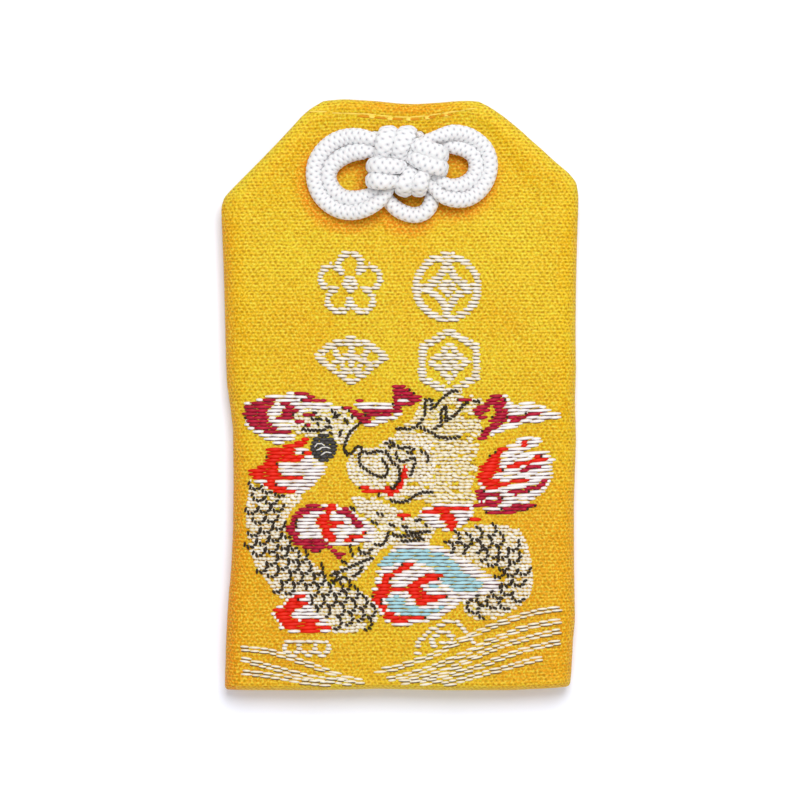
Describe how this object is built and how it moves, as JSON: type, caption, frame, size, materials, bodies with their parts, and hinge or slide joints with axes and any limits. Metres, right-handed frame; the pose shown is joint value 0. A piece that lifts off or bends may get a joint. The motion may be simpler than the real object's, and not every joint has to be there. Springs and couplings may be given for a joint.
{
  "type": "omamori charm",
  "caption": "Flat yellow brocade charm pouch with clipped top corners, a wrapped wooden tablet inside, and a white braided cord tied in a doubled cross knot over its front.",
  "frame": {"origin": "centre of the bounding box's bottom, on the surface that the charm lies on", "axes": "+X to the right of the front face, +Y from the foot to the mouth, +Z out of the front face"},
  "size_m": [0.0478, 0.0796, 0.0112],
  "materials": {
    "brocade": "woven silk brocade, soft sheen",
    "cord": "white round braid",
    "paper": "plain soft paper",
    "card": "plain grey board",
    "wood": "planed, unfinished"
  },
  "bodies": {
    "pouch": {"front_brocade": "brocade", "back_brocade": "brocade", "front_interfacing": "paper", "back_interfacing": "paper", "stiffener_card": "card", "back_cord_bight": "cord"},
    "knot": {"knotted_cord": "cord"},
    "talisman": {"talisman_tablet": "wood", "talisman_wrapper": "paper"}
  },
  "joints": [
    {"name": "knot_tilt", "type": "hinge", "parent": "pouch", "child": "knot", "pos_m": [-0.0004, 0.0349, 0.00703], "axis": [-1, 0, 0], "range_deg": [0, 60]},
    {"name": "talisman_slide", "type": "slide", "parent": "pouch", "child": "talisman", "axis": [0, 1, 0], "range_m": [0, 0.005]}
  ]
}
